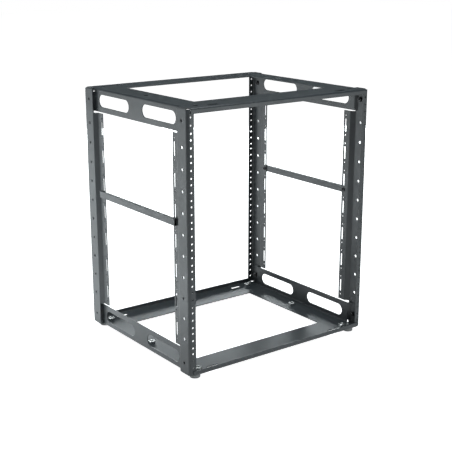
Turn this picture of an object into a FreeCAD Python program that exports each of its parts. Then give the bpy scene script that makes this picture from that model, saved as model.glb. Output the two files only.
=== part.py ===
import FreeCAD, Part
import math
import os

import Sketcher

# A twelve-unit open rack frame in folded sheet steel: four posts, a top and a bottom
# pan, a bar on each side, push-in feet and the nuts that hold the frame together.
# Millimetres, +Z up, front towards -Y, origin on the floor under the frame's middle.

SIZES = [
    # Rack rows and overall size
    ("UnitCount", 12),
    ("UnitPitch", 44.45),
    ("PostSpan", 482.6),
    ("PostDepth", 406.4),
    ("EndMargin", 11.4),
    ("FootRise", 9.5),
    # Folded section of a post
    ("Gauge", 2.0),
    ("CornerBend", 6.5),
    ("FoldBend", 3.0),
    ("FlangeReach", 15.875),
    ("WebReach", 36.3),
    ("SlantReach", 8.7),
    ("StripInset", 8.0),
    ("StripReach", 19.8),
    ("TrimGap", 3.0),
    ("LipClear", 0.5),
    # Holes of a post
    ("RailHole", 4.8),
    ("RailInset", 8.75),
    ("RailFirst", 6.35),
    ("RailStep", 15.875),
    ("SideHole", 7.0),
    ("SideInset", 20.5),
    ("LaceInset", 14.2),
    ("LaceLength", 29.0),
    ("LaceWidth", 5.0),
    ("LacePitch", 63.5),
    ("LaceMargin", 30.0),
    ("TieHole", 4.8),
    ("TieSpacing", 19.05),
    # Pans
    ("PanHeight", 50.8),
    ("PanBend", 4.0),
    ("LipHeight", 11.0),
    ("SideBorder", 58.0),
    ("FrontBorder", 73.1),
    ("WindowHeight", 27.0),
    ("WindowGap", 52.4),
    ("WindowMargin", 18.0),
    ("TabClear", 7.5),
    ("TabReach", 20.0),
    ("TabRise", 8.0),
    ("JoggleReach", 6.0),
    ("EarLength", 28.0),
    ("EarWidth", 9.0),
    ("EarInsetSide", 69.8),
    ("EarInsetFront", 16.2),
    # Mounting holes, nuts and feet
    ("MountInsetSide", 35.6),
    ("MountInsetFront", 22.9),
    ("MountHole", 10.4),
    ("PanNutWidth", 14.5),
    ("PanNutRise", 5.0),
    ("PanNutBore", 8.0),
    ("TabNutWidth", 10.0),
    ("TabNutRise", 5.0),
    ("TabNutBore", 5.0),
    ("FootInsetSide", 23.0),
    ("FootInsetFront", 16.0),
    ("FootWidth", 23.0),
    ("StemWidth", 6.0),
    ("StemClear", 0.3),
    ("StemReach", 6.0),
    # Side bars
    ("BarHeight", 14.5),
    ("BarDepth", 6.6),
    ("BarWall", 1.5),
    ("BarInset", 52.5),
]

PARTS = "parts"


class Size:
    """A length or a count, together with the sheet expression that gives it."""

    def __init__(self, value, text=None):
        self.value = value
        self.text = text or str(value)

    def __add__(self, other):
        other = as_size(other)
        return Size(self.value + other.value, f"({self.text} + {other.text})")

    def __sub__(self, other):
        other = as_size(other)
        return Size(self.value - other.value, f"({self.text} - {other.text})")

    def __mul__(self, other):
        other = as_size(other)
        return Size(self.value * other.value, f"({self.text} * {other.text})")

    def __truediv__(self, other):
        other = as_size(other)
        return Size(self.value / other.value, f"({self.text} / {other.text})")

    def __neg__(self):
        return self * -1


def as_size(number):
    return number if isinstance(number, Size) else Size(number)


doc = FreeCAD.newDocument("rack_frame")
sheet = doc.addObject("Spreadsheet::Sheet", "Sizes")
for row, (alias, number) in enumerate(SIZES, start=1):
    sheet.set(f"A{row}", alias)
    sheet.set(f"B{row}", str(number))
    sheet.setAlias(f"B{row}", alias)
doc.recompute()

S = {alias: Size(number, f"Sizes.{alias}") for alias, number in SIZES}
ZERO = Size(0)
GAUGE = S["Gauge"]
SIDES = (-1, 1)

# How exactly an edge is looked for at the place where a fold was drawn
TOLERANCE = 0.01

# A hole that repeats many times is cut with few sides, its corners on the true circle
HOLE_SIDES = 8
TIE_SIDES = 4
NUT_SIDES = 6
FOOT_SIDES = 24

# Lengths that several pieces share
half_span = S["PostSpan"] / 2
half_depth = S["PostDepth"] / 2
rail_height = S["UnitPitch"] * S["UnitCount"]
frame_height = rail_height + S["EndMargin"] * 2
mid_level = S["FootRise"] + frame_height / 2
top_level = S["FootRise"] + frame_height
screw_line = S["PanHeight"] / 2
tab_hole_y = half_depth - S["SideInset"]
mount_x = half_span - S["MountInsetSide"]
mount_y = half_depth - S["MountInsetFront"]
foot_x = half_span - S["FootInsetSide"]
foot_y = half_depth - S["FootInsetFront"]
strip_centre = S["WebReach"] + S["SlantReach"] + S["LaceInset"]
strip_half = frame_height / 2 - S["PanHeight"] - S["TrimGap"]

# The tie holes of the lacing strip lie in pairs, half way between two slots
tie_offset = (S["LacePitch"] - S["TieSpacing"]) / 2
bar_level = mid_level + S["LacePitch"] - tie_offset


def origin_plane(body, role):
    for feature in body.Origin.OriginFeatures:
        if feature.Role == role:
            return feature
    raise ValueError(role)


def new_body(label, x=ZERO, y=ZERO, z=ZERO, turn=None, blank=None):
    """An empty body at its place, or one that starts from a blank's shape."""
    body = doc.addObject("PartDesign::Body", label)
    body.Label = label
    if blank is not None:
        body.BaseFeature = blank
        doc.recompute()
    body.Placement = FreeCAD.Placement(FreeCAD.Vector(), turn or FreeCAD.Rotation())
    for axis, length in zip("xyz", (x, y, z)):
        body.setExpression(f"Placement.Base.{axis}", length.text)
    return body


def new_sketch(body, name, role, offset=None):
    """A sketch on one of the body's own origin planes, or a distance in front of it."""
    sketch = body.newObject("Sketcher::SketchObject", name)
    sketch.AttachmentSupport = (origin_plane(body, role), [""])
    sketch.MapMode = "FlatFace"
    if offset is not None:
        sketch.setExpression("AttachmentOffset.Base.z", offset.text)
    return sketch


def bind(sketch, constraints):
    """Add constraints, given with their sizes, whose values follow the sheet."""
    first = sketch.ConstraintCount
    sketch.addConstraint([constraint for constraint, length in constraints])
    for index, (constraint, length) in enumerate(constraints, start=first):
        sketch.setExpression(f"Constraints[{index}]", length.text)


def pins(geometry, position, x, y):
    """Constraints that hold a point of a sketch at its place."""
    return [
        (Sketcher.Constraint(kind, -1, 1, geometry, position, length.value), length)
        for kind, length in (("DistanceX", x), ("DistanceY", y))
    ]


def draw_outline(sketch, corners):
    """A closed outline of straight lines through the given corners."""
    points = [FreeCAD.Vector(x.value, y.value, 0) for x, y in corners]
    first = sketch.GeometryCount
    following = points[1:] + points[:1]
    sides = [Part.LineSegment(start, end) for start, end in zip(points, following)]
    sketch.addGeometry(sides, False)
    joints = []
    places = []
    for index, (x, y) in enumerate(corners, start=first):
        before = index - 1 if index > first else first + len(corners) - 1
        joints.append(Sketcher.Constraint("Coincident", before, 2, index, 1))
        places += pins(index, 1, x, y)
    sketch.addConstraint(joints)
    bind(sketch, places)


def draw_box(sketch, left, right, bottom, top):
    corners = [(left, bottom), (right, bottom), (right, top), (left, top)]
    draw_outline(sketch, corners)


def draw_circle(sketch, x, y, width):
    centre = FreeCAD.Vector(x.value, y.value, 0)
    circle = Part.Circle(centre, FreeCAD.Vector(0, 0, 1), width.value / 2)
    geometry = sketch.addGeometry(circle, False)
    diameter = Sketcher.Constraint("Diameter", geometry, width.value)
    bind(sketch, pins(geometry, 3, x, y) + [(diameter, width)])


def draw_polygon(sketch, x, y, width, sides=HOLE_SIDES):
    """A regular polygon with a flat side facing along X, its width across flats."""
    reach = 0.5 / math.cos(math.pi / sides)
    corners = []
    for index in range(sides):
        turn = math.pi * (2 * index + 1) / sides
        east = width * round(reach * math.cos(turn), 9)
        north = width * round(reach * math.sin(turn), 9)
        corners.append((x + east, y + north))
    draw_outline(sketch, corners)


def draw_hole(sketch, x, y, width, sides=HOLE_SIDES):
    """A hole of few sides, its corners on the circle of the given width."""
    flats = width * round(math.cos(math.pi / sides), 9)
    draw_polygon(sketch, x, y, flats, sides)


def draw_slot(sketch, x, y, length, width):
    """A slot along X with full-round ends."""
    reach = (length - width) / 2
    radius = width / 2
    first = sketch.GeometryCount
    quarter = math.pi / 2
    ends = [(x - reach, quarter), (x + reach, -quarter)]
    for centre_x, start in ends:
        centre = FreeCAD.Vector(centre_x.value, y.value, 0)
        circle = Part.Circle(centre, FreeCAD.Vector(0, 0, 1), radius.value)
        sketch.addGeometry(Part.ArcOfCircle(circle, start, start + math.pi), False)
    for arc, other in ((first, first + 1), (first + 1, first)):
        start = sketch.Geometry[arc].EndPoint
        end = sketch.Geometry[other].StartPoint
        line = sketch.addGeometry(Part.LineSegment(start, end), False)
        sketch.addConstraint(Sketcher.Constraint("Tangent", arc, 2, line, 1))
        sketch.addConstraint(Sketcher.Constraint("Tangent", line, 2, other, 1))
    places = [(Sketcher.Constraint("Radius", first, radius.value), radius)]
    for arc, (centre_x, start) in enumerate(ends, start=first):
        places += pins(arc, 3, centre_x, y)
    bind(sketch, places)


def add_pad(body, name, sketch, length, symmetric=True):
    pad = body.newObject("PartDesign::Pad", name)
    pad.Profile = sketch
    pad.setExpression("Length", length.text)
    if symmetric:
        pad.SideType = "Symmetric"
    body.Tip = pad
    doc.recompute()


def add_pocket(body, name, sketch, depth=None):
    """Cut a sketch to a depth behind its plane, or right through the body."""
    before = body.Shape.Volume
    pocket = body.newObject("PartDesign::Pocket", name)
    pocket.Refine = False
    pocket.Profile = sketch
    if depth is None:
        pocket.Type = "ThroughAll"
        pocket.SideType = "Symmetric"
    else:
        pocket.setExpression("Length", depth.text)
    body.Tip = pocket
    doc.recompute()
    if body.Shape.Volume >= before:
        raise RuntimeError(f"{body.Label}: {name} cuts nothing")
    return pocket


def add_rows(body, name, pocket, sketch, pitch, count):
    """Repeat a pocket upwards along its own sketch."""
    rows = body.newObject("PartDesign::LinearPattern", name)
    rows.Refine = False
    rows.Originals = [pocket]
    rows.Direction = (sketch, ["V_Axis"])
    rows.Mode = "Spacing"
    rows.setExpression("Offset", pitch.text)
    rows.setExpression("Occurrences", count.text)
    body.Tip = rows
    doc.recompute()


def edges_at(shape, axis, places):
    """Names of the straight edges along an axis that pass through the places."""
    others = [index for index in range(3) if index != axis]
    names = []
    for number, edge in enumerate(shape.Edges, start=1):
        box = edge.BoundBox
        spans = (box.XLength, box.YLength, box.ZLength)
        middle = edge.CenterOfMass
        if max(spans[index] for index in others) > TOLERANCE:
            continue
        for place in places:
            apart = [abs(middle[i] - at.value) for i, at in zip(others, place)]
            if max(apart) < TOLERANCE:
                names.append(f"Edge{number}")
    return names


def add_fillet(body, name, axis, places, radius):
    base = body.Tip
    fillet = body.newObject("PartDesign::Fillet", name)
    fillet.Base = (base, edges_at(base.Shape, axis, places))
    fillet.setExpression("Radius", radius.text)
    body.Tip = fillet
    doc.recompute()


def fold_shift(across, along):
    """How far a fold of a sheet lies from that of its other face, as a share of its gauge."""
    lean = math.atan2(across.value, along.value)
    return round(math.tan(lean / 2), 9)


# Posts: X runs inwards from the side of the frame and Y inwards from its front


def fold_post(body):
    shift = GAUGE * fold_shift(S["StripInset"], S["SlantReach"])
    slant_end = S["WebReach"] + S["SlantReach"]
    strip_end = slant_end + S["StripReach"]
    outside = [
        (S["FlangeReach"], ZERO),
        (ZERO, ZERO),
        (ZERO, S["WebReach"]),
        (S["StripInset"], slant_end),
        (S["StripInset"], strip_end),
    ]
    inside = [
        (S["StripInset"] + GAUGE, strip_end),
        (S["StripInset"] + GAUGE, slant_end - shift),
        (GAUGE, S["WebReach"] - shift),
        (GAUGE, GAUGE),
        (S["FlangeReach"], GAUGE),
    ]
    section = new_sketch(body, "Section", "XY_Plane")
    draw_outline(section, outside + inside)
    add_pad(body, "Sheet", section, frame_height - GAUGE * 2)

    bend = S["FoldBend"]
    add_fillet(body, "CornerOutside", 2, [outside[1]], S["CornerBend"])
    add_fillet(body, "CornerInside", 2, [inside[3]], S["CornerBend"] - GAUGE)
    add_fillet(body, "FoldsOutside", 2, [outside[2], inside[1]], bend)
    add_fillet(body, "FoldsInside", 2, [outside[3], inside[2]], bend - GAUGE)


def trim_post(body):
    """Stop the slant and the strip short of the pans, and clear the pans' bent lips."""
    strip = new_sketch(body, "StripTrim", "YZ_Plane")
    lips = new_sketch(body, "LipTrim", "XZ_Plane")
    past_strip = strip_centre + S["StripReach"]
    past_flange = S["FlangeReach"] + GAUGE
    lip_start = S["StripInset"] - S["LipClear"]
    lip_level = frame_height / 2 - S["PanBend"]
    for side in SIDES:
        end = frame_height / 2 * side
        draw_box(strip, S["WebReach"], past_strip, strip_half * side, end)
        draw_box(lips, lip_start, past_flange, lip_level * side, end)
    add_pocket(body, "StripEnds", strip)
    add_pocket(body, "LipEnds", lips, S["CornerBend"])


def rail_level(unit, hole):
    """Height of one of the three tapped holes of a unit, counted from the lowest."""
    unit_bottom = S["UnitPitch"] * unit - rail_height / 2
    return unit_bottom + S["RailFirst"] + S["RailStep"] * hole


def drill_rail(body):
    """The tapped holes of every unit but the lowest and the highest."""
    sketch = new_sketch(body, "RailUnit", "XZ_Plane")
    for hole in range(3):
        draw_hole(sketch, S["RailInset"], rail_level(1, hole), S["RailHole"])
    holes = add_pocket(body, "RailHoles", sketch, S["CornerBend"])
    add_rows(body, "RailRows", holes, sketch, S["UnitPitch"], S["UnitCount"] - 2)


def drill_end_units(body, outer_hole):
    """The tapped holes of the lowest and the highest unit, the outer ones as asked."""
    sketch = new_sketch(body, "RailEnds", "XZ_Plane")
    for unit in (0, S["UnitCount"] - 1):
        for hole, draw in enumerate((outer_hole, draw_hole, outer_hole)):
            draw(sketch, S["RailInset"], rail_level(unit, hole), S["RailHole"])
    add_pocket(body, "RailEndHoles", sketch, S["CornerBend"])


def drill_side(body):
    """A hole level with the middle one of each unit, and one over each pan's tab."""
    row = new_sketch(body, "Side", "YZ_Plane")
    draw_hole(row, S["SideInset"], rail_level(1, 1), S["SideHole"])
    holes = add_pocket(body, "SideHoles", row)
    add_rows(body, "SideRows", holes, row, S["UnitPitch"], S["UnitCount"] - 2)

    ends = new_sketch(body, "Ends", "YZ_Plane")
    for side in SIDES:
        level = (frame_height / 2 - screw_line) * side
        draw_hole(ends, S["SideInset"], level, S["SideHole"])
    add_pocket(body, "PanHoles", ends)


def punch_strip(body):
    """Lacing slots up the strip, each with a tie hole above and below it."""
    room = strip_half - S["LaceMargin"]
    each_way = int(room.value // S["LacePitch"].value)
    lowest = S["LacePitch"] * -each_way
    half_width = S["LaceWidth"] / 2
    half_length = S["LaceLength"] / 2
    sketch = new_sketch(body, "Lacing", "YZ_Plane")
    near, far = strip_centre - half_width, strip_centre + half_width
    draw_box(sketch, near, far, lowest - half_length, lowest + half_length)
    for side in SIDES:
        level = lowest + tie_offset * side
        draw_hole(sketch, strip_centre, level, S["TieHole"], TIE_SIDES)
    slots = add_pocket(body, "LaceSlots", sketch)
    add_rows(body, "LaceRows", slots, sketch, S["LacePitch"], Size(2 * each_way + 1))


def build_post_blank():
    """The post of the front left corner, drawn once for all four."""
    body = new_body("post_blank")
    fold_post(body)
    trim_post(body)
    drill_side(body)
    punch_strip(body)
    drill_rail(body)
    return body


def build_post(label, blank, side, face):
    """A post turned to its corner; the front ones have true circles at their ends."""
    turns = {
        (-1, -1): FreeCAD.Rotation(),
        (1, -1): FreeCAD.Rotation(FreeCAD.Vector(0, 1, 0), 180),
        (-1, 1): FreeCAD.Rotation(FreeCAD.Vector(1, 0, 0), 180),
        (1, 1): FreeCAD.Rotation(FreeCAD.Vector(0, 0, 1), 180),
    }
    turn = turns[(side, face)]
    x, y = half_span * side, half_depth * face
    body = new_body(label, x, y, mid_level, turn, blank)
    drill_end_units(body, draw_circle if face < 0 else draw_hole)


# Pans: drawn as the bottom one, with its outer face at Z = 0

pan_half_width = half_span - S["StripInset"]
pan_half_depth = half_depth + GAUGE
tab_end = half_depth - S["TabClear"]
tab_start = tab_end - S["TabReach"]
web_end = tab_start - S["JoggleReach"]


def fold_channel(body):
    """The plate between the joggles, with a web bent up along each side."""
    width = pan_half_width
    inner = width - GAUGE
    section = new_sketch(body, "Channel", "XZ_Plane")
    corners = [
        (-width, S["PanHeight"]),
        (-width, ZERO),
        (width, ZERO),
        (width, S["PanHeight"]),
        (inner, S["PanHeight"]),
        (inner, GAUGE),
        (-inner, GAUGE),
        (-inner, S["PanHeight"]),
    ]
    draw_outline(section, corners)
    add_pad(body, "ChannelSheet", section, web_end * 2)
    add_fillet(body, "WebOutside", 1, corners[1:3], S["PanBend"])
    add_fillet(body, "WebInside", 1, corners[5:7], S["PanBend"] - GAUGE)


def fold_lips(body):
    """The plate in front of and behind the webs, with a low lip bent up at its edge."""
    outer = pan_half_depth
    inner = outer - GAUGE
    section = new_sketch(body, "Lips", "YZ_Plane")
    for side in SIDES:
        corners = [
            (web_end, ZERO),
            (outer, ZERO),
            (outer, S["LipHeight"]),
            (inner, S["LipHeight"]),
            (inner, GAUGE),
            (web_end, GAUGE),
        ]
        draw_outline(section, [(y * side, z) for y, z in corners])
    add_pad(body, "LipSheet", section, pan_half_width * 2)
    edges = [(-outer, ZERO), (outer, ZERO)]
    roots = [(-inner, GAUGE), (inner, GAUGE)]
    add_fillet(body, "LipOutside", 0, edges, S["PanBend"])
    add_fillet(body, "LipInside", 0, roots, S["PanBend"] - GAUGE)


def extend_plate(body):
    """Carry the plate's ends out to the posts, under the tabs."""
    near, far = pan_half_width - GAUGE, half_span - GAUGE
    sketch = new_sketch(body, "PlateEnds", "XY_Plane")
    for side in SIDES:
        for face in SIDES:
            corners = (near * side, far * side, web_end * face, tab_end * face)
            draw_box(sketch, *corners)
    add_pad(body, "PlateEndSheet", sketch, GAUGE, symmetric=False)


def joggle_tabs(body):
    """Step the ends of the webs outwards, so that they lie against the posts."""
    outer = half_span - GAUGE
    shift = GAUGE * fold_shift(outer - pan_half_width, S["JoggleReach"])
    corners = [
        (pan_half_width - GAUGE, web_end),
        (pan_half_width, web_end),
        (outer, tab_start),
        (outer, tab_end),
        (outer - GAUGE, tab_end),
        (outer - GAUGE, tab_start + shift),
        (pan_half_width - GAUGE, web_end + shift),
    ]
    sketch = new_sketch(body, "Tabs", "XY_Plane", S["TabRise"])
    for side in SIDES:
        for face in SIDES:
            draw_outline(sketch, [(x * side, y * face) for x, y in corners])
    height = S["PanHeight"] - S["TabRise"]
    add_pad(body, "TabSheet", sketch, height, symmetric=False)


def cut_pan(body):
    """Cut the plate's opening, the webs' windows and all holes but the corner ones."""
    middle = new_sketch(body, "Opening", "XY_Plane")
    width = pan_half_width - S["SideBorder"]
    depth = pan_half_depth - S["FrontBorder"]
    draw_box(middle, -width, width, -depth, depth)
    add_pocket(body, "PlateOpening", middle)

    webs = new_sketch(body, "Windows", "YZ_Plane")
    window_start = S["WindowGap"] / 2
    window_end = web_end - S["WindowMargin"]
    window_length = window_end - window_start
    for face in SIDES:
        y = (window_start + window_end) / 2 * face
        draw_slot(webs, y, screw_line, window_length, S["WindowHeight"])
        draw_hole(webs, tab_hole_y * face, screw_line, S["SideHole"])
    add_pocket(body, "WebWindows", webs)

    plate = new_sketch(body, "Holes", "XY_Plane")
    ear_x = half_span - S["EarInsetSide"]
    ear_y = half_depth - S["EarInsetFront"]
    half_length, half_width = S["EarLength"] / 2, S["EarWidth"] / 2
    for side in SIDES:
        draw_polygon(plate, mount_x * side, ZERO, S["MountHole"])
        x = ear_x * side
        for face in SIDES:
            y = ear_y * face
            ear = (x - half_length, x + half_length, y - half_width, y + half_width)
            draw_box(plate, *ear)
    add_pocket(body, "PlateHoles", plate)


def build_pan_blank():
    body = new_body("pan_blank")
    fold_channel(body)
    fold_lips(body)
    extend_plate(body)
    joggle_tabs(body)
    cut_pan(body)
    return body


def drill_corners(body, name, draw, x, y, width):
    """The same hole in all four corners of a pan."""
    sketch = new_sketch(body, name, "XY_Plane")
    for side in SIDES:
        for face in SIDES:
            draw(sketch, x * side, y * face, width)
    add_pocket(body, f"{name}Holes", sketch)


def build_bottom_pan(blank):
    body = new_body("bottom_pan", z=S["FootRise"], blank=blank)
    drill_corners(body, "Mount", draw_polygon, mount_x, mount_y, S["MountHole"])
    stem_hole = S["StemWidth"] + S["StemClear"] * 2
    drill_corners(body, "Stem", draw_polygon, foot_x, foot_y, stem_hole)


def build_top_pan(blank):
    """The same pan upside down; its corner holes, which carry loads, are true circles."""
    turn = FreeCAD.Rotation(FreeCAD.Vector(1, 0, 0), 180)
    body = new_body("top_pan", z=top_level, turn=turn, blank=blank)
    drill_corners(body, "Mount", draw_circle, mount_x, mount_y, S["MountHole"])


# Feet, nuts and side bars


def build_foot(label, side, face):
    """A low round foot with a push-in stem that passes up through the bottom pan."""
    body = new_body(label, foot_x * side, foot_y * face, ZERO)
    disc = new_sketch(body, "Disc", "XY_Plane")
    draw_polygon(disc, ZERO, ZERO, S["FootWidth"], FOOT_SIDES)
    add_pad(body, "Pad", disc, S["FootRise"], symmetric=False)
    stem = new_sketch(body, "Stem", "XY_Plane", S["FootRise"])
    draw_polygon(stem, ZERO, ZERO, S["StemWidth"])
    add_pad(body, "StemPad", stem, GAUGE + S["StemReach"], symmetric=False)


def build_nut(body, role, width, bore, rise):
    """A hexagonal nut that stands on one of its body's origin planes."""
    sketch = new_sketch(body, "Hexagon", role)
    draw_polygon(sketch, ZERO, ZERO, width, NUT_SIDES)
    draw_polygon(sketch, ZERO, ZERO, bore)
    add_pad(body, "Nut", sketch, rise, symmetric=False)


def build_pan_nut(label, side, face):
    """A nut on the bottom pan, over one of its mounting holes."""
    body = new_body(label, mount_x * side, mount_y * face, S["FootRise"] + GAUGE)
    build_nut(body, "XY_Plane", S["PanNutWidth"], S["PanNutBore"], S["PanNutRise"])


def build_tab_nut(label, side, face, level):
    """A nut on the inner face of a pan's tab, in line with the post's hole."""
    turn = FreeCAD.Rotation(FreeCAD.Vector(0, 0, 1), 0 if side < 0 else 180)
    seat = (half_span - GAUGE * 2) * side
    body = new_body(label, seat, tab_hole_y * face, level, turn)
    build_nut(body, "YZ_Plane", S["TabNutWidth"], S["TabNutBore"], S["TabNutRise"])


def build_bar(label, side):
    """A flat tube in the recess outside the posts' lacing strips."""
    x = (half_span - S["StripInset"] + S["BarDepth"] / 2) * side
    body = new_body(label, x, ZERO, bar_level)
    width, height, wall = S["BarDepth"] / 2, S["BarHeight"] / 2, S["BarWall"]
    sketch = new_sketch(body, "Tube", "XZ_Plane")
    draw_box(sketch, -width, width, -height, height)
    draw_box(sketch, wall - width, width - wall, wall - height, height - wall)
    add_pad(body, "Bar", sketch, (half_depth - S["BarInset"]) * 2)


SIDE_NAMES = {-1: "left", 1: "right"}
FACE_NAMES = {-1: "front", 1: "rear"}

post_blank = build_post_blank()
pan_blank = build_pan_blank()
build_bottom_pan(pan_blank)
build_top_pan(pan_blank)
for side, side_name in SIDE_NAMES.items():
    build_bar(f"{side_name}_bar", side)
    build_pan_nut(f"middle_{side_name}_nut", side, 0)
    for face, face_name in FACE_NAMES.items():
        corner = f"{face_name}_{side_name}"
        build_post(f"{corner}_post", post_blank, side, face)
        build_foot(f"{corner}_foot", side, face)
        build_pan_nut(f"{corner}_nut", side, face)
        low, high = S["FootRise"] + screw_line, top_level - screw_line
        build_tab_nut(f"{corner}_lower_tab_nut", side, face, low)
        build_tab_nut(f"{corner}_upper_tab_nut", side, face, high)

doc.recompute()
bodies = [item for item in doc.Objects if item.isDerivedFrom("PartDesign::Body")]
pieces = [body for body in bodies if body not in (post_blank, pan_blank)]
for item in doc.Objects:
    if {"Invalid", "Error"} & set(item.State):
        raise RuntimeError(f"{item.Label} failed: {item.State}")
for piece in pieces:
    if piece.Shape.isNull() or not piece.Shape.isValid():
        raise RuntimeError(f"{piece.Label} has no valid shape")
    if len(piece.Shape.Solids) != 1:
        raise RuntimeError(f"{piece.Label} is not one solid")

os.makedirs(PARTS, exist_ok=True)
for piece in pieces:
    piece.Shape.exportStep(os.path.join(PARTS, f"{piece.Label}.step"))
print(f"{len(pieces)} pieces written")
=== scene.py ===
import math

import bmesh
import bpy
from mathutils import Matrix, Vector


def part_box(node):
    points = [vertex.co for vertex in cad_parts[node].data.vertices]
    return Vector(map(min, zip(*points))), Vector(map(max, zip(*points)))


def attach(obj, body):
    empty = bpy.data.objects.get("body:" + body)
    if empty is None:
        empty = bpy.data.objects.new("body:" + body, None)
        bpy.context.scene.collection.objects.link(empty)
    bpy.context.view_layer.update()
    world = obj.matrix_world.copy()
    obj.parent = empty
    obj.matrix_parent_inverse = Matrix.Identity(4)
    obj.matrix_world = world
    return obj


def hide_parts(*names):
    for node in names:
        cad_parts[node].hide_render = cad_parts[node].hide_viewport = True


# An open rack frame in satin powder-coated sheet steel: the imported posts, pans and bars,
# and around them the hole rims, threads, nuts, screws and feet. Metres, +Z up, front
# towards -Y. The profiles of the small parts are in millimetres.

MM = 0.001
SIDES = (-1, 1)
SIDE_NAMES = {-1: "left", 1: "right"}
FACE_NAMES = {-1: "front", 1: "rear"}
CORNERS = [(side, face) for face in SIDES for side in SIDES]

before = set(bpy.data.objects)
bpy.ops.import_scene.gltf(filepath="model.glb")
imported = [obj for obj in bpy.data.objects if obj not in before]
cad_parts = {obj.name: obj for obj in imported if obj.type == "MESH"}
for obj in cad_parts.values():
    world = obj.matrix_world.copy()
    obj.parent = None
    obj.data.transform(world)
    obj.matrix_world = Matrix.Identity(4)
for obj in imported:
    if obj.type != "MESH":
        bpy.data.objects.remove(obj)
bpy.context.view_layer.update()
scene = bpy.context.scene


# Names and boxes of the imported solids


def corner_node(side, face, part):
    return f"{FACE_NAMES[face]}_{SIDE_NAMES[side]}_{part}"


def centre(node):
    low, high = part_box(node)
    return (low + high) / 2


# Camera: the photograph's own viewpoint, fitted to the hole rows and the corners

CAMERA_PLACE = Vector((-1.2775, -1.7214, 0.8466))
CAMERA_YAW = math.radians(36.626)
CAMERA_PITCH = math.radians(15.603)
CAMERA_ROLL = math.radians(-0.058)
LENS = 77.08
SENSOR = 36.0


def make_camera():
    data = bpy.data.cameras.new("camera")
    data.lens = LENS
    data.sensor_width = SENSOR
    camera = bpy.data.objects.new("camera", data)
    level = math.cos(CAMERA_PITCH)
    along = (
        math.sin(CAMERA_YAW) * level,
        math.cos(CAMERA_YAW) * level,
        -math.sin(CAMERA_PITCH),
    )
    aim = Vector(along).to_track_quat("-Z", "Y").to_matrix().to_4x4()
    roll = Matrix.Rotation(CAMERA_ROLL, 4, "Z")
    camera.matrix_world = Matrix.Translation(CAMERA_PLACE) @ aim @ roll
    scene.collection.objects.link(camera)
    scene.camera = camera


# Studio: white paper under the frame, a white surround for the camera, and area lights

FLOOR_HALF = 12.0
FLOOR_WHITE = 0.98
FLOOR_GLOW = 0.36
PAPER = (0.8, 0.8, 0.8, 1)
PAPER_ROUGHNESS = 0.9
WHITE = (1, 1, 1, 1)
SURROUND = (0.03, 0.032, 0.034)
DAYLIGHT = (0.91, 0.98, 1.0)
LIGHTS = [
    # name, place, aim, width, height, spread in degrees, power
    ("left_rear_softbox", (-2.2, 1.6, 1.0), (0, 0, 0.25), 1.8, 1.8, 180, 16.0),
    ("left_rear_panel", (-1.4, 1.7, 0.5), (0, 0, 0.25), 0.9, 0.9, 180, 1.5),
    ("left_rear_strip", (-0.95, 1.35, 0.15), (-0.24, 0.19, 0.25), 0.6, 0.3, 180, 0.9),
    ("left_floor_spot", (-0.75, 1.1, 0.8), (-0.75, 1.05, 0), 0.5, 0.5, 80, 3.8),
    ("left_near_spot", (-0.5, 0.35, 0.8), (-0.5, 0.3, 0), 0.4, 0.4, 60, 1.7),
    ("overhead_softbox", (0.0, 0.0, 2.6), (0, 0, 0), 2.2, 2.2, 180, 90.0),
    ("front_low_softbox", (1.2, -2.2, 0.5), (0, 0, 0.25), 1.2, 0.6, 180, 11.5),
    ("rear_low_strip", (1.5, 2.3, 0.3), (0, 0, 0.1), 3.0, 0.6, 180, 66.0),
]


def make_light(name, place, aim, width, height, spread, power):
    data = bpy.data.lights.new(name, "AREA")
    data.shape = "RECTANGLE"
    data.size = width
    data.size_y = height
    data.spread = math.radians(spread)
    data.color = DAYLIGHT
    data.energy = power
    light = bpy.data.objects.new(name, data)
    light.location = place
    direction = Vector(aim) - Vector(place)
    light.rotation_euler = direction.to_track_quat("-Z", "Y").to_euler()
    light.visible_camera = False
    scene.collection.objects.link(light)


def make_surround():
    """White to the camera, and a soft grey to all that the frame reflects."""
    world = bpy.data.worlds.new("surround")
    world.use_nodes = True
    nodes, links = world.node_tree.nodes, world.node_tree.links
    nodes.clear()
    ray = nodes.new("ShaderNodeLightPath")
    soft = nodes.new("ShaderNodeBackground")
    soft.inputs["Color"].default_value = (*SURROUND, 1)
    white = nodes.new("ShaderNodeBackground")
    white.inputs["Color"].default_value = WHITE
    mix = nodes.new("ShaderNodeMixShader")
    out = nodes.new("ShaderNodeOutputWorld")
    links.new(ray.outputs["Is Camera Ray"], mix.inputs["Fac"])
    links.new(soft.outputs[0], mix.inputs[1])
    links.new(white.outputs[0], mix.inputs[2])
    links.new(mix.outputs[0], out.inputs["Surface"])
    scene.world = world


def make_floor():
    """Paper that glows nearly white to the camera, and softly on all that it lights."""
    bm = bmesh.new()
    bmesh.ops.create_grid(bm, x_segments=1, y_segments=1, size=FLOOR_HALF)
    mesh = bpy.data.meshes.new("floor")
    bm.to_mesh(mesh)
    bm.free()
    floor = bpy.data.objects.new("floor", mesh)
    material = bpy.data.materials.new("floor_paper")
    material.use_nodes = True
    nodes, links = material.node_tree.nodes, material.node_tree.links
    shader = nodes["Principled BSDF"]
    shader.inputs["Base Color"].default_value = PAPER
    shader.inputs["Roughness"].default_value = PAPER_ROUGHNESS
    shader.inputs["Emission Color"].default_value = WHITE
    ray = nodes.new("ShaderNodeLightPath")
    glow = nodes.new("ShaderNodeMapRange")
    glow.inputs["To Min"].default_value = FLOOR_GLOW
    glow.inputs["To Max"].default_value = FLOOR_WHITE
    links.new(ray.outputs["Is Camera Ray"], glow.inputs["Value"])
    links.new(glow.outputs["Result"], shader.inputs["Emission Strength"])
    mesh.materials.append(material)
    scene.collection.objects.link(floor)


# Materials: every pattern reads Object coordinates, in metres

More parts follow.
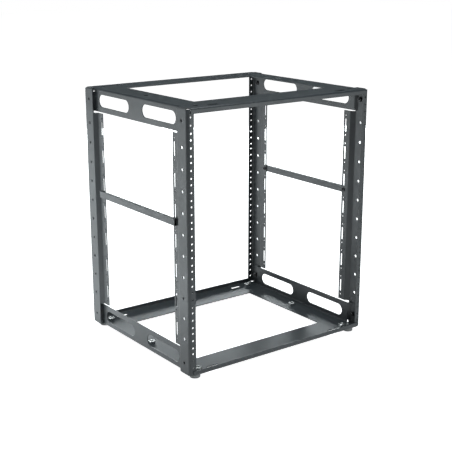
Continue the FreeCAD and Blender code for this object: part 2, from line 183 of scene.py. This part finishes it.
NOISE_MIDDLE = (0.3, 0.7)
FULL_RANGE = (0.0, 1.0)

COAT_TONES = ((0.025, 0.029, 0.032, 1), (0.031, 0.036, 0.040, 1))
COAT_RUBBED = (0.12, 0.13, 0.135, 1)
COAT_ROUGHNESS = (0.31, 0.40)
COAT_EDGE = 0.6 * MM
EDGE_SAMPLES = 6
COAT_PEEL = 0.03 * MM

ZINC_TONES = ((0.66, 0.67, 0.67, 1), (0.80, 0.80, 0.79, 1))
ZINC_ROUGHNESS = (0.20, 0.34)
ZINC_GRAIN = 0.01 * MM

OXIDE_TONES = ((0.035, 0.036, 0.038, 1), (0.16, 0.16, 0.165, 1))
OXIDE_ROUGHNESS = (0.42, 0.30)
OXIDE_GRAIN = 0.008 * MM

STEEL_TONES = ((0.10, 0.10, 0.10, 1), (0.26, 0.26, 0.255, 1))
STEEL_ROUGHNESS = (0.5, 0.34)

RUBBER_TONES = ((0.24, 0.25, 0.25, 1), (0.34, 0.35, 0.35, 1))
RUBBER_ROUGHNESS = (0.55, 0.75)
RUBBER_GRAIN = 0.02 * MM


class Material:
    """A node material, with short calls for the nodes that the finishes share."""

    def __init__(self, name):
        self.data = bpy.data.materials.new(name)
        self.data.use_nodes = True
        self.nodes = self.data.node_tree.nodes
        self.links = self.data.node_tree.links
        self.shader = self.nodes["Principled BSDF"]
        self.place = self.nodes.new("ShaderNodeTexCoord").outputs["Object"]

    def join(self, value, socket):
        """Link an output, or set a plain value, on an input socket."""
        if isinstance(value, bpy.types.NodeSocket):
            self.links.new(value, socket)
        else:
            socket.default_value = value

    def noise(self, scale, detail=2.0, rough=0.5):
        node = self.nodes.new("ShaderNodeTexNoise")
        self.join(self.place, node.inputs["Vector"])
        node.inputs["Scale"].default_value = scale
        node.inputs["Detail"].default_value = detail
        node.inputs["Roughness"].default_value = rough
        return node.outputs["Fac"]

    def spread(self, value, part, to=FULL_RANGE):
        """Stretch part of a pattern's range to another range, held at its ends."""
        node = self.nodes.new("ShaderNodeMapRange")
        self.join(value, node.inputs["Value"])
        for name, number in zip(
            ("From Min", "From Max", "To Min", "To Max"), (*part, *to)
        ):
            node.inputs[name].default_value = number
        return node.outputs["Result"]

    def math(self, kind, first, second):
        node = self.nodes.new("ShaderNodeMath")
        node.operation = kind
        self.join(first, node.inputs[0])
        self.join(second, node.inputs[1])
        return node.outputs[0]

    def blend(self, share, first, second):
        node = self.nodes.new("ShaderNodeMix")
        node.data_type = "RGBA"
        colours = [socket for socket in node.inputs if socket.type == "RGBA"]
        self.join(share, node.inputs["Factor"])
        for value, socket in zip((first, second), colours):
            self.join(value, socket)
        return [socket for socket in node.outputs if socket.type == "RGBA"][0]

    def bump(self, height, depth, normal=None):
        node = self.nodes.new("ShaderNodeBump")
        self.join(height, node.inputs["Height"])
        node.inputs["Distance"].default_value = depth
        node.inputs["Strength"].default_value = 1.0
        if normal is not None:
            self.links.new(normal, node.inputs["Normal"])
        return node.outputs["Normal"]

    def edge(self, radius):
        """How much the surface turns within a small radius, and its rounded normal."""
        node = self.nodes.new("ShaderNodeBevel")
        node.samples = EDGE_SAMPLES
        node.inputs["Radius"].default_value = radius
        true = self.nodes.new("ShaderNodeNewGeometry").outputs["Normal"]
        turn = self.nodes.new("ShaderNodeVectorMath")
        turn.operation = "DOT_PRODUCT"
        self.links.new(node.outputs["Normal"], turn.inputs[0])
        self.links.new(true, turn.inputs[1])
        share = self.math("SUBTRACT", 1.0, turn.outputs["Value"])
        return share, node.outputs["Normal"]

    def finish(self, **values):
        for name, value in values.items():
            self.join(value, self.shader.inputs[name.replace("_", " ")])
        return self.data


def powder_coat():
    """Charcoal paint with a fine orange peel, a faint cloud of tone and rubbed edges."""
    m = Material("powder_coat")
    cloud = m.spread(m.noise(scale=9.0, detail=3.0), NOISE_MIDDLE)
    coat = m.blend(cloud, *COAT_TONES)
    turn, rounded = m.edge(COAT_EDGE)
    patch = m.spread(m.noise(scale=60.0, detail=4.0), (0.45, 0.75))
    rub = m.math("MULTIPLY", m.spread(turn, (0.02, 0.25)), patch)
    colour = m.blend(rub, coat, COAT_RUBBED)
    smear = m.spread(m.noise(scale=22.0, detail=5.0, rough=0.6), NOISE_MIDDLE, COAT_ROUGHNESS)
    normal = m.bump(m.noise(scale=900.0), COAT_PEEL, rounded)
    return m.finish(Base_Color=colour, Roughness=smear, Normal=normal)


def zinc_plate():
    """Bright zinc with a faint cloud and a fine grain."""
    m = Material("zinc_plate")
    cloud = m.spread(m.noise(scale=120.0, detail=3.0), NOISE_MIDDLE)
    colour = m.blend(cloud, *ZINC_TONES)
    rough = m.spread(m.noise(scale=400.0, detail=3.0), NOISE_MIDDLE, ZINC_ROUGHNESS)
    normal = m.bump(m.noise(scale=1500.0), ZINC_GRAIN)
    return m.finish(Base_Color=colour, Metallic=1.0, Roughness=rough, Normal=normal)


def black_oxide():
    """Dark oiled steel of the screws and the tab nuts, with brighter worn spots."""
    m = Material("black_oxide")
    worn = m.spread(m.noise(scale=500.0, detail=4.0, rough=0.6), (0.55, 0.75))
    colour = m.blend(worn, *OXIDE_TONES)
    rough = m.spread(worn, FULL_RANGE, OXIDE_ROUGHNESS)
    normal = m.bump(m.noise(scale=1800.0), OXIDE_GRAIN)
    return m.finish(Base_Color=colour, Metallic=0.8, Roughness=rough, Normal=normal)


def cut_steel():
    """Bare steel where a tap has cut the threads, dulled by oil."""
    m = Material("cut_steel")
    dull = m.spread(m.noise(scale=700.0, detail=3.0), (0.35, 0.65))
    colour = m.blend(dull, *STEEL_TONES)
    rough = m.spread(dull, FULL_RANGE, STEEL_ROUGHNESS)
    return m.finish(Base_Color=colour, Metallic=1.0, Roughness=rough)


def foot_rubber():
    """Grey moulded rubber, scuffed in paler spots."""
    m = Material("foot_rubber")
    scuff = m.spread(m.noise(scale=260.0, detail=5.0, rough=0.6), (0.45, 0.75))
    colour = m.blend(scuff, *RUBBER_TONES)
    rough = m.spread(scuff, FULL_RANGE, RUBBER_ROUGHNESS)
    normal = m.bump(m.noise(scale=900.0, detail=3.0), RUBBER_GRAIN)
    return m.finish(Base_Color=colour, Roughness=rough, Normal=normal)


def dress_nodes(finishes):
    """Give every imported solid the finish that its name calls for."""
    for name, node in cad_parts.items():
        part = name.split("_")[-1]
        node.data.materials.clear()
        node.data.materials.append(finishes[part])


# Turned and hexagonal small parts. Each is a row of loops about its own Z axis, and a
# loop is its kind, its radius or half width, and its height, in millimetres.

NUT_SIDES = 6
CHAMFER_SLOPE = math.tan(math.radians(30))
CHAMFER_SHARE = 0.96
COUNTERSINK = 0.5
LOOP_STEPS = 24


def hexagon_reach(turn, flat):
    """From a hexagon's middle to its outline at an angle, its flats facing along X."""
    sector = math.tau / NUT_SIDES
    return flat / math.cos((turn + sector / 2) % sector - sector / 2)


def loop_points(kind, size, height, sides):
    """One loop: round, hexagonal, or a hexagon's edge where a cone has cut it back."""
    points = []
    for step in range(sides):
        turn = math.tau * step / sides
        reach = size if kind == "round" else hexagon_reach(turn, size)
        drop = 0.0
        if kind in ("top", "low"):
            drop = (reach - size) * CHAMFER_SLOPE * (1 if kind == "top" else -1)
        x, y = reach * math.cos(turn), reach * math.sin(turn)
        points.append(Vector((x, y, height - drop)) * MM)
    return points


def turned(name, loops, sides=LOOP_STEPS, closed=False):
    """A solid through loops in millimetres, capped at both ends unless it closes up."""
    bm = bmesh.new()
    rings = []
    for kind, size, height in loops:
        points = loop_points(kind, size, height, sides)
        rings.append([bm.verts.new(point) for point in points])
    pairs = list(zip(rings, rings[1:]))
    if closed:
        pairs.append((rings[-1], rings[0]))
    for low, high in pairs:
        for step in range(sides):
            after = (step + 1) % sides
            bm.faces.new((low[step], low[after], high[after], high[step]))
    if not closed:
        for ring, height in ((rings[0], loops[0][2]), (rings[-1], loops[-1][2])):
            middle = bm.verts.new((0, 0, height * MM))
            for step in range(sides):
                bm.faces.new((ring[step], ring[(step + 1) % sides], middle))
    bmesh.ops.recalc_face_normals(bm, faces=bm.faces)
    mesh = bpy.data.meshes.new(name)
    bm.to_mesh(mesh)
    bm.free()
    return bpy.data.objects.new(name, mesh)


def nut_pattern(name, width, bore, rise):
    """A hexagonal nut with both faces chamfered; its bore is countersunk."""
    flat, hole = width / 2, bore / 2
    rim = flat * CHAMFER_SHARE
    cut = (flat - rim) * CHAMFER_SLOPE
    loops = [
        ("round", hole + COUNTERSINK, 0.0),
        ("round", rim, 0.0),
        ("low", flat, cut),
        ("top", flat, rise - cut),
        ("round", rim, rise),
        ("round", hole + COUNTERSINK, rise),
        ("round", hole, rise - COUNTERSINK),
        ("round", hole, COUNTERSINK),
    ]
    return turned(name, loops, closed=True)


# Geometry Nodes: copies of a small part, and threads, at points that carry a facing


class Tree:
    """A Geometry Nodes tree with named inputs, ended by Realize and Set Material."""

    def __init__(self, name, sockets):
        self.group = bpy.data.node_groups.new(name, "GeometryNodeTree")
        sockets = {"Places": "Geometry", **sockets, "Finish": "Material"}
        for label, kind in sockets.items():
            self.group.interface.new_socket(
                label, in_out="INPUT", socket_type=f"NodeSocket{kind}"
            )
        self.group.interface.new_socket(
            "Piece", in_out="OUTPUT", socket_type="NodeSocketGeometry"
        )
        self.source = self.group.nodes.new("NodeGroupInput").outputs
        self.result = self.group.nodes.new("NodeGroupOutput").inputs

    def add(self, kind, inputs, output=0, **settings):
        """A node with its inputs linked or set; gives back one of its outputs."""
        node = self.group.nodes.new(kind)
        for name, value in settings.items():
            setattr(node, name, value)
        for name, value in inputs.items():
            socket = node.inputs[name]
            if isinstance(value, bpy.types.NodeSocket):
                self.group.links.new(value, socket)
            else:
                socket.default_value = value
        return node.outputs[output]

    def stand(self, piece, twist=None):
        """Put a piece at every place, its Z axis along the place's facing, and end."""
        facing = self.add(
            "GeometryNodeInputNamedAttribute", {"Name": "facing"}, data_type="FLOAT_VECTOR"
        )
        turn = self.add(
            "FunctionNodeAlignRotationToVector", {"Vector": facing}, axis="Z"
        )
        if twist is not None:
            turn = self.add(
                "FunctionNodeRotateRotation",
                {"Rotation": turn, "Rotate By": twist},
                rotation_space="LOCAL",
            )
        copies = self.add(
            "GeometryNodeInstanceOnPoints",
            {"Points": self.source["Places"], "Instance": piece, "Rotation": turn},
        )
        whole = self.add("GeometryNodeRealizeInstances", {"Geometry": copies})
        finished = self.add(
            "GeometryNodeSetMaterial",
            {"Geometry": whole, "Material": self.source["Finish"]},
        )
        self.group.links.new(finished, self.result["Piece"])


def copies_tree():
    """Copies of a fitting, each twisted about its own axis by a random angle."""
    tree = Tree(
        "place_fittings", {"Fitting": "Object", "Twist": "Float", "Seed": "Int"}
    )
    fitting = tree.add(
        "GeometryNodeObjectInfo",
        {"Object": tree.source["Fitting"]},
        "Geometry",
        transform_space="ORIGINAL",
    )
    angle = tree.add(
        "FunctionNodeRandomValue",
        {"Max": tree.source["Twist"], "Seed": tree.source["Seed"]},
        "Value",
        data_type="FLOAT",
    )
    twist = tree.add(
        "FunctionNodeAxisAngleToRotation", {"Axis": (0, 0, 1), "Angle": angle}
    )
    tree.stand(fitting, twist)
    return tree


RIDGE_SIDES = 3


def thread_tree():
    """A three-sided ridge that winds up every hole."""
    tree = Tree(
        "wind_threads",
        {
            "Radius": "Float",
            "Pitch": "Float",
            "Turns": "Float",
            "Ridge": "Float",
            "Steps": "Int",
        },
    )
    rise = tree.add(
        "ShaderNodeMath",
        {0: tree.source["Pitch"], 1: tree.source["Turns"]},
        operation="MULTIPLY",
    )
    line = tree.add(
        "GeometryNodeCurveSpiral",
        {
            "Resolution": tree.source["Steps"],
            "Rotations": tree.source["Turns"],
            "Start Radius": tree.source["Radius"],
            "End Radius": tree.source["Radius"],
            "Height": rise,
        },
    )
    section = tree.add(
        "GeometryNodeCurvePrimitiveCircle",
        {"Resolution": RIDGE_SIDES, "Radius": tree.source["Ridge"]},
        mode="RADIUS",
    )
    ridge = tree.add(
        "GeometryNodeCurveToMesh",
        {"Curve": line, "Profile Curve": section, "Fill Caps": True},
    )
    tree.stand(ridge)
    return tree


def points_mesh(name, places):
    """A mesh of loose points in metres, each with the direction that it faces."""
    mesh = bpy.data.meshes.new(name)
    mesh.from_pydata([place for place, facing in places], [], [])
    facings = mesh.attributes.new("facing", "FLOAT_VECTOR", "POINT")
    for item, (place, facing) in zip(facings.data, places):
        item.vector = facing
    return mesh


def grow(name, tree, places, slot, finish, **values):
    """Run a tree at the places and keep what it makes as one plain piece."""
    holder = bpy.data.objects.new(f"{name}_places", points_mesh(name, places))
    scene.collection.objects.link(holder)
    modifier = holder.modifiers.new("grow", "NODES")
    modifier.node_group = tree.group
    values["Finish"] = finish
    for item in tree.group.interface.items_tree:
        if item.in_out == "INPUT" and item.name in values:
            modifier[item.identifier] = values[item.name]
    shape = holder.evaluated_get(bpy.context.evaluated_depsgraph_get())
    mesh = bpy.data.meshes.new_from_object(shape)
    holder.modifiers.remove(modifier)
    bpy.data.objects.remove(holder)
    piece = bpy.data.objects.new(name, mesh)
    scene.collection.objects.link(piece)
    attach(piece, "root")
    return piece


# Places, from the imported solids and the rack's own hole pattern

UNITS = 12
UNIT_PITCH = 44.45 * MM
UNIT_HOLES = 3
RAIL_FIRST = 6.35 * MM
RAIL_STEP = 15.875 * MM
RAIL_INSET = 8.75 * MM
SIDE_INSET = 20.5 * MM
GAUGE = 2.0 * MM

post_low, post_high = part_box("front_left_post")
half_span, half_depth = -post_low.x, -post_low.y
mid_level = (post_low.z + post_high.z) / 2


def rail_level(unit, hole):
    return mid_level + UNIT_PITCH * (unit - UNITS / 2) + RAIL_FIRST + RAIL_STEP * hole


def rail_places(depth):
    """Every tapped hole of the rails, a depth behind the flange's outer face."""
    places = []
    for side, face in CORNERS:
        x, y = (half_span - RAIL_INSET) * side, (half_depth - depth) * face
        for unit in range(UNITS):
            for hole in range(UNIT_HOLES):
                places.append(((x, y, rail_level(unit, hole)), (0, face, 0)))
    return places


def side_places(levels, depth):
    """Holes of the posts' webs at the levels, a depth behind their outer faces."""
    places = []
    for side, face in CORNERS:
        x, y = (half_span - depth) * side, (half_depth - SIDE_INSET) * face
        places += [((x, y, level), (side, 0, 0)) for level in levels]
    return places


# Hole rims and tapped rail holes

RAIL_BORE = 4.3
RAIL_RIM = 5.4
RAIL_RIM_STEPS = 16
SIDE_BORE = 6.4
SIDE_RIM = 7.7
SIDE_RIM_STEPS = 20
PROUD = 0.03
RIM_EASE = 0.12
RAIL_THREAD = {"Pitch": 0.8 * MM, "Turns": 2.0, "Ridge": 0.22 * MM, "Steps": 12}
THREAD_INSET = 0.2 * MM


def rim_pattern(name, bore, rim, sides):
    """A thin collar that rounds off a hole through sheet metal, from face to face."""
    hole, edge = bore / 2, rim / 2
    top, low = PROUD, -GAUGE / MM - PROUD
    loops = [
        ("round", hole, top - RIM_EASE),
        ("round", hole + RIM_EASE, top),
        ("round", edge, top),
        ("round", edge, low),
        ("round", hole + RIM_EASE, low),
        ("round", hole, low + RIM_EASE),
    ]
    return turned(name, loops, sides, closed=True)


def make_rims(fittings, coat):
    """Rims in every rail hole, and in the side holes of the middle units."""
    rail_rim = rim_pattern("rail_rim", RAIL_BORE, RAIL_RIM, RAIL_RIM_STEPS)
    side_rim = rim_pattern("side_rim", SIDE_BORE, SIDE_RIM, SIDE_RIM_STEPS)
    middle_rows = [rail_level(unit, 1) for unit in range(1, UNITS - 1)]
    rail, side = rail_places(0), side_places(middle_rows, 0)
    grow("rail_rims", fittings, rail, "black_coat", coat, Fitting=rail_rim)
    grow("side_rims", fittings, side, "black_coat", coat, Fitting=side_rim)


def make_rail_threads(threads, steel):
    places = rail_places(GAUGE - THREAD_INSET)
    values = {"Radius": RAIL_BORE / 2 * MM, **RAIL_THREAD}
    grow("rail_threads", threads, places, "black_coat", steel, **values)


# Nuts on the bottom pan and on the pans' tabs

PAN_NUT = {"width": 14.5, "bore": 8.0, "rise": 5.0}
PAN_NUT_THREAD = {"Pitch": 1.25 * MM, "Turns": 3.0, "Ridge": 0.35 * MM, "Steps": 24}
PAN_THREAD_HEIGHT = 0.6 * MM
TAB_NUT = {"width": 10.0, "bore": 5.0, "rise": 5.0}
TAB_NUT_THREAD = {"Pitch": 0.8 * MM, "Turns": 2.4, "Ridge": 0.35 * MM, "Steps": 16}
TAB_THREAD_HEIGHT = 3.0 * MM


def up(middle):
    """The nuts on the bottom pan stand upright."""
    return Vector((0, 0, 1))


def inwards(middle):
    """The nuts on the tabs stand towards the middle of the frame."""
    return Vector((-math.copysign(1, middle.x), 0, 0))


def nut_places(nodes, facing, height=0.0):
    """The axis of each nut, and the point on it at a height above the nut's seat."""
    places = []
    for node in nodes:
        low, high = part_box(node)
        middle = (low + high) / 2
        out = facing(middle)
        half = abs((high - low).dot(out)) / 2
        places.append((middle - out * (half - height), out))
    return places


def make_nuts(fittings, threads, zinc, oxide, steel):
    """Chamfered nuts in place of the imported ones, with the threads in their bores."""
    pan_nodes = [corner_node(side, face, "nut") for side, face in CORNERS]
    pan_nodes += ["middle_left_nut", "middle_right_nut"]
    tab_nodes = [
        corner_node(side, face, f"{level}_tab_nut")
        for side, face in CORNERS
        for level in ("lower", "upper")
    ]
    pan_nut = nut_pattern("pan_nut", **PAN_NUT)
    tab_nut = nut_pattern("tab_nut", **TAB_NUT)

    seats = nut_places(pan_nodes, up)
    piece = grow("pan_nuts", fittings, seats, "zinc", zinc, Fitting=pan_nut)
    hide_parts(*pan_nodes)
    seats = nut_places(tab_nodes, inwards)
    piece = grow("tab_nuts", fittings, seats, "black_coat", oxide, Fitting=tab_nut)
    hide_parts(*tab_nodes)

    starts = nut_places(pan_nodes, up, PAN_THREAD_HEIGHT)
    values = {"Radius": PAN_NUT["bore"] / 2 * MM, **PAN_NUT_THREAD}
    grow("pan_nut_threads", threads, starts, "zinc", steel, **values)
    starts = nut_places(tab_nodes, inwards, TAB_THREAD_HEIGHT)
    values = {"Radius": TAB_NUT["bore"] / 2 * MM, **TAB_NUT_THREAD}
    grow("tab_nut_threads", threads, starts, "zinc", zinc, **values)


# Screws: a countersunk one in each end hole of a post, a domed one at each end of a bar

SCREW_SHANK = 5.0
SCREW_TIP = 3.5
SCREW_TAPER = 0.6
SOCKET_SHARE = 0.27
SOCKET_RIM = 1.25
SOCKET_EASE = 0.2
SOCKET_DEPTH = 1.4
SUNK_HEAD = [
    ("round", 3.15, 1.9),
    ("round", 3.3, 2.1),
    ("round", 3.3, 2.5),
    ("round", 3.1, 2.6),
]
PAN_SCREW = {"head": 6.6, "length": 8.2}
PAN_SCREW_DEPTH = 3.3 * MM
PAN_SCREW_SEED = 3
DOMED_HEAD = [
    ("round", 4.5, 0.0),
    ("round", 4.5, 1.1),
    ("round", 4.1, 1.9),
    ("round", 3.2, 2.4),
]
BAR_SCREW = {"head": 9.0, "length": 5.0}
BAR_SCREW_INSET = 6.7 * MM
BAR_SCREW_SEED = 7


def screw_pattern(name, profile, head, length):
    """A screw with a six-sided socket; its head's under side lies at height 0."""
    socket = head * SOCKET_SHARE
    top = profile[-1][2]
    loops = [
        ("round", SCREW_TIP / 2, -length),
        ("round", SCREW_SHANK / 2, SCREW_TAPER - length),
        ("round", SCREW_SHANK / 2, 0.0),
        *profile,
        ("round", socket * SOCKET_RIM, top),
        ("hex", socket, top - SOCKET_EASE),
        ("hex", socket, top - SOCKET_DEPTH),
    ]
    return turned(name, loops)


def bar_screw_places():
    """Both ends of each bar, on the inner face of the lacing strip that carries it."""
    places = []
    for side in SIDES:
        low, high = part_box(f"{SIDE_NAMES[side]}_bar")
        inner = min(abs(low.x), abs(high.x)) - GAUGE
        level = (low.z + high.z) / 2
        for face in SIDES:
            y = (high.y - BAR_SCREW_INSET) * face
            places.append(((inner * side, y, level), (-side, 0, 0)))
    return places


def make_screws(fittings, oxide):
    pan_screw = screw_pattern("pan_screw", SUNK_HEAD, **PAN_SCREW)
    bar_screw = screw_pattern("bar_screw", DOMED_HEAD, **BAR_SCREW)
    end_nuts = ("front_left_lower_tab_nut", "front_left_upper_tab_nut")
    seats = side_places([centre(node).z for node in end_nuts], PAN_SCREW_DEPTH)
    values = {"Fitting": pan_screw, "Twist": math.tau, "Seed": PAN_SCREW_SEED}
    grow("pan_screws", fittings, seats, "black_coat", oxide, **values)
    values = {"Fitting": bar_screw, "Twist": math.tau, "Seed": BAR_SCREW_SEED}
    grow("bar_screws", fittings, bar_screw_places(), "black_coat", oxide, **values)


# Feet: a hollow sole, an eased rim, a waist and a barbed stem

FOOT_STEPS = 36
FOOT_PROFILE = [
    ("round", 3.0, 1.2),
    ("round", 8.2, 1.2),
    ("round", 8.8, 0.0),
    ("round", 10.6, 0.0),
    ("round", 11.3, 0.5),
    ("round", 11.5, 1.3),
    ("round", 11.5, 5.6),
    ("round", 11.1, 6.3),
    ("round", 11.1, 6.9),
    ("round", 11.5, 7.5),
    ("round", 11.5, 8.9),
    ("round", 10.9, 9.48),
    ("round", 3.0, 9.48),
    ("round", 3.0, 11.55),
    ("round", 3.7, 11.9),
    ("round", 3.6, 12.6),
    ("round", 2.4, 17.2),
    ("round", 1.9, 17.45),
]


def make_feet(fittings, rubber):
    """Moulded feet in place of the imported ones, standing on the floor."""
    nodes = [corner_node(side, face, "foot") for side, face in CORNERS]
    foot = turned("foot_pattern", FOOT_PROFILE, FOOT_STEPS)
    middles = [centre(node) for node in nodes]
    places = [((middle.x, middle.y, 0), (0, 0, 1)) for middle in middles]
    piece = grow("feet", fittings, places, "foot", rubber, Fitting=foot)
    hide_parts(*nodes)


# The whole picture

make_camera()
make_surround()
make_floor()
for light in LIGHTS:
    make_light(*light)
scene.view_settings.view_transform = "Standard"

coat, zinc, oxide = powder_coat(), zinc_plate(), black_oxide()
steel, rubber = cut_steel(), foot_rubber()
dress_nodes({"post": coat, "pan": coat, "bar": coat, "nut": zinc, "foot": rubber})
fittings, threads = copies_tree(), thread_tree()
make_rims(fittings, coat)
make_rail_threads(threads, steel)
make_nuts(fittings, threads, zinc, oxide, steel)
make_screws(fittings, oxide)
make_feet(fittings, rubber)
